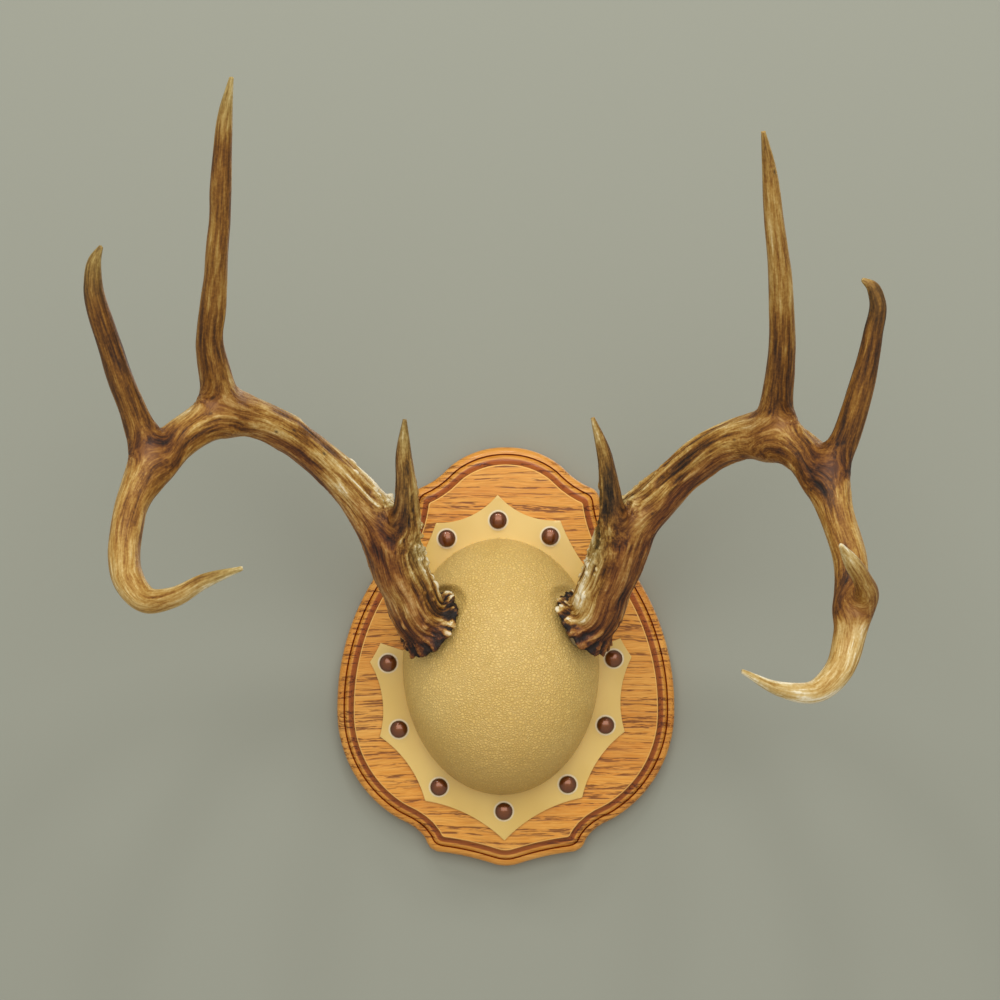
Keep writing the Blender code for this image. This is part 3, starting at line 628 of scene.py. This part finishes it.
def fine_skin(name, lines):
    """One closed mesh over all the branches of an antler: overlapping tubes joined by a voxel remesh."""
    points, faces, count = [], [], 0
    for line in lines.values():
        tube_points, tube_faces = closed_skin(tube(line, 48))
        points.append(tube_points)
        faces.append(outward(tube_points, tube_faces) + count)
        count += len(tube_points)
    made = new_object(name, np.vstack(points), np.vstack(faces))
    step = made.modifiers.new("Join", "REMESH")
    step.mode = "VOXEL"
    step.voxel_size = VOXEL * MM
    return baked(made)


def relief_height(side_name, grain, lines, share, views):
    """How far the skin stands out from the smooth form, in millimetres. It adds up crests (1 - |noise|, drawn
    out along the grain, so they are sharp on top), pearls, and the lumps of the burr."""
    seed = {"left": 10, "right": 40}[side_name]
    inner = {"left": 1.0, "right": -1.0}[side_name]
    front, side, at = grain.T
    round_to = np.hypot(front, side)
    toward_inner = inner * side / np.maximum(round_to, 1e-6)
    bend = np.stack([noise(grain / (13, 13, 34), seed + k) for k in range(3)], axis=1)
    wave = grain + bend * (2.4, 2.4, 5.0)
    beam_at = views[0][2]
    beam_share = share[0]
    left_over = sum(s * (line["at"][-1] - view[2]) for s, line, view in zip(share, lines.values(), views))
    polish = ease(4, 70, left_over)  # nothing stands out on the tips
    high_tines = share[2:].sum(axis=0)
    rough = (1 - ease(90, 330, at)) * (1 - 0.55 * high_tines)
    long_field = noise(wave / (5.6, 5.6, 46.0), seed + 3)
    short_field = noise(wave / (2.7, 2.7, 19.0), seed + 4)
    crest = 0.55 - 2.2 * np.abs(long_field)
    fine_crest = 0.5 - 2.0 * np.abs(short_field)
    calm = ease(0.1, 0.9, -toward_inner)  # the concave side is smoother and rubbed
    amount = polish * (0.20 + 0.80 * rough) * (1 - 0.35 * calm)
    height = amount * (1.05 * np.clip(crest, -0.9, 1) + 0.42 * fine_crest)
    height += polish * 0.55 * noise(grain / (11.0, 11.0, 20.0), seed + 6)
    # pearls, thickest on the inner edge and close over the burr, and down the brow tine's foot
    near = 1 - ease(70, 165, at)
    edge = ease(0.15, 0.85, toward_inner)
    drawn_out = wave / (4.2, 4.2, 6.5)
    height += 4.2 * pearls(drawn_out, seed + 7, 0.55) * near * edge * polish
    small = pearls(wave / (3.0, 3.0, 4.0), seed + 8, 0.35)
    height += 3.0 * small * (1 - ease(50, 120, at)) * (0.3 + 0.7 * edge) * polish
    knobs = pearls(wave / (5.0, 5.0, 7.0), seed + 9, 0.45)
    knobbly = ease(12, 30, at) * (1 - ease(90, 150, at))
    height += 4.0 * knobs * ease(0.55, 0.95, toward_inner) * knobbly * polish
    # the burr: a crown of lumps about 6 mm apart, with clefts between them
    angle = np.arctan2(side, front)
    turn = 15 * angle + 2.6 * noise(grain / 10.0, seed + 10)
    lumps = 1.1 - 2.2 * np.abs(np.sin(turn / 2)) ** 3
    burr = np.exp(-(((beam_at - 3.0) / 4.2) ** 2)) * beam_share
    height += burr * (1.0 * lumps + 4.5 * pearls(grain / 4.6, seed + 11, 0.8) - 0.7)
    collar = np.exp(-(((beam_at - 12.0) / 7.0) ** 2)) * beam_share
    height += collar * 3.6 * pearls(drawn_out * 1.1, seed + 12, 0.7)
    facing = ease(-0.3, 0.8, front / np.maximum(round_to, 1e-6))
    overhang = 2.2 * burr * facing  # the burr stands out most towards the room
    parts = {"rough": rough, "burr": burr, "left_over": left_over, "toward_inner": toward_inner}
    return height, overhang, parts


# How pale each branch is along its length, as (share of its length, tone): 0 is chocolate, 1 is cream.
TONES = {
    "left": {
        "main_beam": [
            (0, 0.28), (0.05, 0.56), (0.11, 0.68), (0.15, 0.56), (0.18, 0.62), (0.22, 0.78), (0.27, 0.64),
            (0.36, 0.58), (0.48, 0.54), (0.58, 0.56), (0.66, 0.52), (0.72, 0.44), (0.78, 0.66), (0.86, 0.66),
            (0.94, 0.70), (1, 0.88),
        ],
        "brow_tine": [(0, 0.52), (0.3, 0.46), (0.6, 0.50), (0.85, 0.54), (1, 0.56)],
        "second_tine": [(0, 0.58), (0.12, 0.46), (0.3, 0.36), (0.55, 0.45), (0.82, 0.44), (1, 0.74)],
        "third_tine": [(0, 0.46), (0.15, 0.33), (0.5, 0.31), (0.8, 0.39), (1, 0.56)],
    },
    "right": {
        "main_beam": [
            (0, 0.28), (0.05, 0.54), (0.10, 0.72), (0.15, 0.54), (0.22, 0.58), (0.34, 0.60), (0.44, 0.52),
            (0.54, 0.54), (0.64, 0.56), (0.71, 0.36), (0.75, 0.42), (0.79, 0.70), (0.86, 0.78), (1, 0.96),
        ],
        "brow_tine": [(0, 0.50), (0.3, 0.40), (0.6, 0.40), (0.85, 0.50), (1, 0.72)],
        "second_tine": [
            (0, 0.52), (0.15, 0.40), (0.3, 0.37), (0.55, 0.55), (0.8, 0.62), (0.95, 0.54), (1, 0.66),
        ],
        "third_tine": [(0, 0.46), (0.2, 0.32), (0.5, 0.30), (0.8, 0.28), (0.95, 0.42), (1, 0.72)],
        "fourth_tine": [(0, 0.36), (0.4, 0.56), (0.75, 0.62), (1, 0.94)],
    },
}


def surface_colours(side_name, grain, lines, share, views, height, parts):
    """Where the skin is pale or dark, red or green: worn on the convex side and in the brow tine's crotch,
    with a painted highlight on the far beam's inner side too, stained along the concave side and in the high
    forks, darker between the burr's lumps, partly as painted shade, and painted shade under the burr."""
    tone = sum(
        s * np.interp(view[2] / line["at"][-1], *np.array(TONES[side_name][name]).T)
        for s, view, (name, line) in zip(share, views, lines.items())
    )
    toward_inner, burr, rough = parts["toward_inner"], parts["burr"], parts["rough"]
    at = grain[:, 2]
    distal = ease(150, 260, at) * share[0]
    meeting = 4 * share[0] * share[1:]
    tone += 0.07 * noise(grain / (10, 10, 38), 71)
    tone += 0.12 * meeting[0] * ease(-0.5, 0.5, toward_inner)
    tone -= meeting[2:].sum(axis=0) * (0.08 + 0.12 * noise(grain / (8, 8, 20), 72))
    stripe = toward_inner + 0.45 + 0.25 * noise(grain / (16, 16, 60), 74)
    tone -= 0.13 * np.exp(-((stripe / 0.22) ** 2)) * distal
    # paler on the far beam's inner side: part wear, part a painted highlight
    tone += 0.10 * ease(0.15, 0.85, toward_inner) * distal
    tone -= 0.08 * ease(0.2, 0.9, -toward_inner) * rough
    # darker in the burr's clefts: part grime, part painted shade
    clefts = np.clip(-height, 0, 2) * burr
    # painted shade on the burr's underside, where it sits on the cover
    under = (1 - ease(0.2, 1.8, views[0][2])) * share[0]
    pale_side = ease(-0.1, 0.8, toward_inner)
    tone += 0.06 * burr * pale_side
    tone += burr * (0.46 * pale_side + 0.12) * ease(-0.3, 1.0, height) - 0.10 * clefts - 0.30 * under
    horn = 0.75 * (1 - ease(3, 42, parts["left_over"])) * {"left": 0.7, "right": 0.35}[side_name]
    horn = np.maximum(horn, 0.5 * meeting[0] * ease(0.3, 0.9, toward_inner))
    horn = np.maximum(horn, 0.25 * share[1] * ease(25, 60, views[1][2]))
    ruddy = rough * ease(-0.2, 0.6, -toward_inner + 0.6 * noise(grain / (8, 8, 30), 73))
    ruddy = np.maximum(0.75 * ruddy, 0.45 * meeting[1:].sum(axis=0))
    return tone, np.clip(ruddy, 0, 1), np.clip(horn, 0, 1)


def build_antler(side_name, finish):
    """The joined skin, drawn onto the blended form, then raised and lowered along its normals."""
    branches = ANTLERS[side_name]
    lines = {name: centre_line(points) for name, points in branches.items()}
    beam = lines["main_beam"]
    flare = np.exp(-(((beam["at"] - BURR_PEAK) / BURR_REACH) ** 2)) * ease(-1.0, 1.8, beam["at"])
    beam["radius"] = beam["radius"] + BURR_FLARE * flare
    made = fine_skin(f"{side_name}_antler", lines)
    points = np.empty(len(made.data.vertices) * 3)
    made.data.vertices.foreach_get("co", points)
    points = points.reshape(-1, 3) / MM
    roots = np.array([line["middle"][0] for line in lines.values()])
    starts = seen_from(beam, roots, True)[2]
    starts[0] = 0
    for _ in range(3):
        gap, way, *_ = blended(lines, starts, points)
        points = points - np.clip(gap, -3, 3)[:, None] * way
    gap, way, share, views, grain = blended(lines, starts, points)
    height, overhang, parts = relief_height(side_name, grain, lines, share, views)
    on_side = ease(-0.2, 1.0, views[0][2])  # the sawn-flat underside of the burr stays flat
    points = points + ((height + overhang) * np.maximum(on_side, 1 - share[0]))[:, None] * way
    made.data.vertices.foreach_set("co", (points * MM).ravel())
    made.data.update()
    tone, ruddy, horn = surface_colours(side_name, grain, lines, share, views, height, parts)
    relief = np.clip(height / 1.3, -1, 0.7) * (0.25 + 0.75 * parts["rough"])
    attribute(made, "grain", grain * MM)
    attribute(made, "tone", tone)
    attribute(made, "relief", relief)
    attribute(made, "ruddy", ruddy)
    attribute(made, "horn", horn)
    attribute(made, "rough", parts["rough"])
    made.data.materials.append(finish)
    made.data.shade_smooth()
    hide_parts(*(f"{side_name}_{name}" for name in branches))
    return made


# ---------------------------------------------------------------------------------------------------------
# Plaque

def moulding(samples=7):
    """The board's edge as (distance in, depth, stain): a quarter-round nose, a step down into a quirk, then
    an ogee, round and hollow, up to a crisp arris at the flat face, where the stain is rubbed thin and a
    pale line is painted on as a highlight."""
    quarter = np.linspace(0, math.pi / 2, samples)
    nose = [(4.2 * (1 - math.cos(a)), 6.6 + 5.2 * math.sin(a), 0.15) for a in quarter]
    quirk = [(4.3, 11.2, 1.0), (4.7, 10.7, 1.0), (5.1, 11.5, 1.0)]
    steps = np.linspace(0, 1, samples)
    round_up = [(5.2 + 2.0 * t, 11.7 + 2.1 * math.sin(t * math.pi / 2), 0.15) for t in steps]
    hollow = [(7.3 + 3.8 * t, 13.8 + 4.4 * t * t, 0.85) for t in steps[1:]]
    return [(0.0, 0.0, 0.3), (0.0, 3.0, 0.3), *nose, *quirk, *round_up, *hollow, (11.25, 18.6, -1.0),
            (11.65, 19.0, -1.0), (11.9, 19.0, 0.0), (12.5, 19.0, 0.0)]


def inset(outline, distance):
    """A loop at a constant distance inside the outline, found on the rays from the centre to its points."""
    share = np.linspace(0.78, 1.0, 90)
    fine = outline[::3]
    at = outline[:, None, :] * share[None, :, None]
    depth = np.abs(edge_distance(at, fine))
    found = [np.interp(-distance, -np.maximum.accumulate(row[::-1])[::-1], share) for row in depth]
    return outline * np.array(found)[:, None]


def build_plaque(finish):
    """Rings of the outline, each moved in and forward by the moulding, then a face of shrinking rings."""
    outline = even_outline(arc_outline(PLAQUE_HALF, 1.2), PLAQUE_SIDES, 2.5)
    edge = moulding()
    steps = np.array([row[0] for row in edge])
    tight = [outline if step == 0 else inset(outline, step) for step in np.unique(steps)]
    loops = dict(zip(np.unique(steps), tight))
    rings = [flat(loops[step] + PLAQUE_CENTRE, depth) for step, depth, _ in edge]
    stain = [row[2] for row in edge]
    face = loops[steps[-1]]
    for share in (0.8, 0.55, 0.3, 0.1):
        rings.append(flat(face * share + PLAQUE_CENTRE, PLAQUE_THICKNESS))
        stain.append(0.0)
    points, faces = closed_skin(np.stack(rings))
    made = new_object("oak_plaque", points, outward(points, faces))
    stain = np.concatenate([np.repeat(stain, PLAQUE_SIDES), [0.3, 0.0]])
    attribute(made, "stain", np.clip(stain, 0, 1))
    # the arris line is pale: worn stain and a painted highlight
    attribute(made, "arris", np.clip(-stain, 0, 1))
    low = np.array([0.0, -KEY_DROP - KEY_RADII["slot"]])
    top = np.array([0.0, -KEY_RADII["slot"]])
    angle = (np.arange(40) + 0.5) * 2 * math.pi / 40
    circle = np.stack([np.sin(angle), np.cos(angle)], axis=1)

    def slotted(radius):
        return radius * circle + np.where(circle[:, 1:] > 0, top, low)

    shapes = [
        (low + KEY_RADII["entry"] * circle, -2.0, KEY_DEPTH + 0.5),
        (slotted(KEY_RADII["slot"]), -2.0, KEY_DEPTH - 1),
        (slotted(KEY_RADII["undercut"]), KEY_NECK, KEY_DEPTH),
    ]
    cut(made, [closed_skin(np.stack([flat(shape, near), flat(shape, far)])) for shape, near, far in shapes])
    # the back and the routed keyhole take one even stain
    spots = np.empty(len(made.data.vertices) * 3, np.float32)
    made.data.vertices.foreach_get("co", spots)
    x, y, z = spots.reshape(-1, 3).T / MM
    routed = (np.abs(x) < 6.5) & (y > -9.6) & (z > -24) & (z < 1)
    values = np.empty(len(x), np.float32)
    layer = made.data.attributes["stain"].data
    layer.foreach_get("value", values)
    layer.foreach_set("value", np.where(routed | (y > -1), 0.25, values).astype(np.float32))
    made.data.materials.clear()
    made.data.materials.append(finish)
    made.data.shade_smooth()
    made.data.set_sharp_from_angle(angle=math.radians(32))
    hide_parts("plaque")
    return made


# ---------------------------------------------------------------------------------------------------------
# Skull cover and tacks

def cover_to_row(points):
    """Turns (x, z) points of the cover about its centre and moves them to their place on the plaque."""
    x, z = points[..., 0], points[..., 1]
    cos, sin = math.cos(COVER_TURN), math.sin(COVER_TURN)
    return np.stack([x * cos - z * sin, x * sin + z * cos], axis=-1) + COVER_CENTRE


def dome_height(points, shrink=0.0):
    """Rise over the flange: (1 - s^p)^(1/p), where s is the share of the way to the dome's foot."""
    s = np.linalg.norm((points - DOME_MIDDLE) / (DOME_HALF - shrink), axis=-1)
    return (DOME_RISE - shrink) * np.clip(1 - s**DOME_POWER, 0, None) ** (1 / DOME_POWER)


def cleared(space):
    """How far a pressed sheet has to sink at a place, (x, y, z), so that it passes 1.2 mm under the burrs:
    down to the plane of a burr's base within 22.5 mm of its middle, easing back to nothing by 30 mm."""
    sink = np.zeros(space.shape[:-1])
    for branches in ANTLERS.values():
        first, second = (np.array(p[:3], float) for p in branches["main_beam"][:2])
        out = (second - first) / np.linalg.norm(second - first)
        offset = space - first
        plane_y = first[1] - (offset[..., 0] * out[0] + offset[..., 2] * out[2] + 1.2) / out[1]
        on_plane = np.stack([space[..., 0], plane_y, space[..., 2]], axis=-1)
        away = np.linalg.norm(on_plane - first, axis=-1)
        over = np.clip(plane_y - space[..., 1], 0, None)
        sink = np.maximum(sink, over * (1 - ease(22.5, 30.0, away)))
    return sink


def build_cover(finish):
    """A sheet over rays from the dome's middle to the points of its outline. The front rises by the dome,
    sinks under the burrs and carries the pressed grain, and the back is the same sheet one wall in. The slots
    and round holes for the pedicles are cut last."""
    columns = 560
    outline = even_outline(arc_outline(COVER_HALF, 0.6), columns, 0.35)
    directions = outline - DOME_MIDDLE
    edge = np.linalg.norm(directions, axis=1)
    directions = directions / edge[:, None]
    foot = np.minimum(1 / np.linalg.norm(directions / DOME_HALF, axis=1), edge - 1.0)
    dome_rows = np.sin(np.linspace(0.004, 1, 104) * math.pi / 2)
    flange_rows = np.array([0.02, 0.06, 0.12, 0.22, 0.4, 0.6, 0.8, 0.93, 0.985, 1.0])
    reach = np.vstack([dome_rows[:, None] * foot, foot + flange_rows[:, None] * (edge - foot)])
    flat_points = DOME_MIDDLE + reach[..., None] * directions
    front = PLAQUE_THICKNESS + GAP + COVER_WALL
    height = dome_height(flat_points)
    on_dome = ease(0.3, 4.0, height)
    low = ease(15, 95, -(flat_points[..., 1] - DOME_MIDDLE[1]))
    space = flat(cover_to_row(flat_points), front + height)
    upright = noise(space / (1.5, 3.0, 4.5), 5)
    level = noise(space / (4.6, 4.0, 1.5), 6)
    wrinkle = upright * (0.75 - 0.55 * low) + level * (0.25 + 0.85 * low) + 0.5 * noise(space / 3.2, 7)
    lift = 0.19 * on_dome * wrinkle
    corner = np.where(np.arange(len(reach))[:, None] == len(reach) - 1, 0.25, 0.0)
    outer = flat(cover_to_row(flat_points), front + height + lift - corner - cleared(space))
    inner_rows = np.linspace(1.0, 0.02, 26)
    inner_reach = inner_rows[:, None] * edge
    inner_points = DOME_MIDDLE + inner_reach[..., None] * directions
    inner_depth = PLAQUE_THICKNESS + GAP + dome_height(inner_points, COVER_WALL)
    inner_space = flat(cover_to_row(inner_points), inner_depth + COVER_WALL)
    inner = flat(cover_to_row(inner_points), inner_depth - cleared(inner_space))
    rings = np.concatenate([outer, inner])
    points, faces = closed_skin(rings)
    made = new_object("leather_grain_cover", points, outward(points, faces))
    backs = np.zeros(inner_reach.size)
    attribute(made, "dome", np.concatenate([on_dome.ravel(), backs, [1.0, 0.0]]))
    # 'low' also darkens the lower dome in the material, as painted shade
    attribute(made, "low", np.concatenate([(low * on_dome).ravel(), backs, [0.0, 0.0]]))
    cutters = []
    angle = np.arange(64) * 2 * math.pi / 64
    for side_name, sign in (("left", -1), ("right", 1)):
        notch = cover_to_row(np.array(NOTCH) * (sign, 1))
        cutters.append(closed_skin(np.stack([flat(notch, 10.0), flat(notch, 110.0)])))
        line = centre_line(ANTLERS[side_name]["main_beam"][:3])
        out, side, ahead = (line[name][0] for name in ("tangent", "side", "front"))
        circle = PEDICLE_HOLE_RADIUS * (np.sin(angle)[:, None] * side + np.cos(angle)[:, None] * ahead)
        start = line["middle"][0]
        cutters.append(closed_skin(np.stack([start - 24 * out + circle, start + 1.5 * out + circle])))
    cut(made, cutters)
    made.data.materials.clear()
    made.data.materials.append(finish)
    made.data.shade_smooth()
    made.data.set_sharp_from_angle(angle=math.radians(40))
    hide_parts("skull_cover")
    return made


def tack_spots():
    """Where the ten nails stand, about the cover's centre, clockwise from the top."""
    right = np.array(TACK_RIGHT)
    return np.vstack([TACK_TOP, right, TACK_BOTTOM, right[::-1] * (-1, 1)])


def build_tacks(finish):
    """Each nail is a profile turned about a line square to the wall: shank, brim and a domed crown."""
    seat = PLAQUE_THICKNESS + COVER_WALL + 2 * GAP
    dome = np.linspace(0, 0.96, 14) * math.pi / 2
    brim = 0.45
    profile = [(0.7, seat - 2.0), (0.7, seat + 0.3), (TACK_RADIUS - 0.5, seat + 0.25), (TACK_RADIUS, seat)]
    profile += [(TACK_RADIUS * math.cos(a), seat + brim + (TACK_RISE - brim) * math.sin(a)) for a in dome]
    columns = 48
    angle = np.arange(columns) * 2 * math.pi / columns
    circle = np.stack([np.sin(angle), np.cos(angle)], axis=1)
    for number, spot in enumerate(cover_to_row(tack_spots()), start=1):
        rings = [flat(spot + radius * circle, depth) for radius, depth in profile]
        points, faces = closed_skin(np.stack(rings))
        made = new_object(f"tack_head_{number:02d}", points, outward(points, faces))
        away = np.linalg.norm(points[:, [0, 2]] - spot, axis=1)
        attribute(made, "crown", np.clip(0.75 - 0.65 * (away / TACK_RADIUS) ** 3, 0, 1))
        made.data.materials.append(finish)
        made.data.set_sharp_from_angle(angle=math.radians(40))
        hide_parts(f"tack_{number:02d}")


def finish_hidden_pieces():
    """The skull plate and its screws keep their shapes, and get their finishes."""
    finishes = {"skull_plate": cleaned_bone(), "plate_screw_upper": None, "plate_screw_lower": None}
    zinc = zinc_plate()
    for name, finish in finishes.items():
        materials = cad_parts[name].data.materials
        materials.clear()
        materials.append(finish or zinc)


# ---------------------------------------------------------------------------------------------------------
# Room

def build_room():
    """A pale wall just behind the plaque, a row of lamps overhead, a soft fill in front, and the camera."""
    scene = bpy.context.scene
    scene.view_settings.view_transform = "Standard"
    wall = bpy.data.meshes.new("wall")
    half, back = 2.2, 0.002
    wall.from_pydata([(-half, back, -half), (half, back, -half), (half, back, half), (-half, back, half)], [],
                     [(0, 1, 2, 3)])
    wall_object = bpy.data.objects.new("wall", wall)
    scene.collection.objects.link(wall_object)
    wall.materials.append(painted_wall())
    wall_object.visible_shadow = False

    world = bpy.data.worlds.new("soft_room")
    scene.world = world
    world.use_nodes = True
    background = world.node_tree.nodes["Background"]
    background.inputs["Color"].default_value = linear("#f7f3ea")
    background.inputs["Strength"].default_value = 0.64

    lights = {
        "overhead_left": ((-0.55, -1.15, 1.55), (0.22, 0.22), 4.8),
        "overhead_middle": ((0.05, -1.2, 1.6), (0.22, 0.22), 4.8),
        "overhead_right": ((0.6, -1.15, 1.5), (0.22, 0.22), 4.0),
        "front_fill": ((0.1, -2.3, 0.8), (2.4, 1.6), 27.0),
        "rear_fill": ((0.9, 1.8, 0.9), (1.2, 1.2), 14.0),
    }
    for name, (place, size, power) in lights.items():
        lamp = bpy.data.lights.new(name, "AREA")
        lamp.shape = "RECTANGLE"
        lamp.size, lamp.size_y = size
        lamp.energy = power
        made = bpy.data.objects.new(name, lamp)
        made.location = place
        aim = np.array([0.0, -0.08, -0.03]) - np.array(place)
        tilt = math.acos(-aim[2] / np.linalg.norm(aim))
        made.rotation_euler = (tilt, 0.0, math.atan2(aim[1], aim[0]) - math.pi / 2)
        scene.collection.objects.link(made)

    camera_data = bpy.data.cameras.new("camera")
    camera_data.sensor_width = 36.0
    camera_data.lens = 90.34
    camera = bpy.data.objects.new("camera", camera_data)
    camera.location = (-0.0037, -1.6, 0.0243)
    camera.rotation_euler = (math.pi / 2, 0.0, 0.0)
    scene.collection.objects.link(camera)
    scene.camera = camera


build_room()
build_plaque(varnished_oak())
build_cover(moulded_plastic())
build_tacks(antique_bronze())
finish_hidden_pieces()
bone = antler_bone()
for side in ANTLERS:
    build_antler(side, bone)
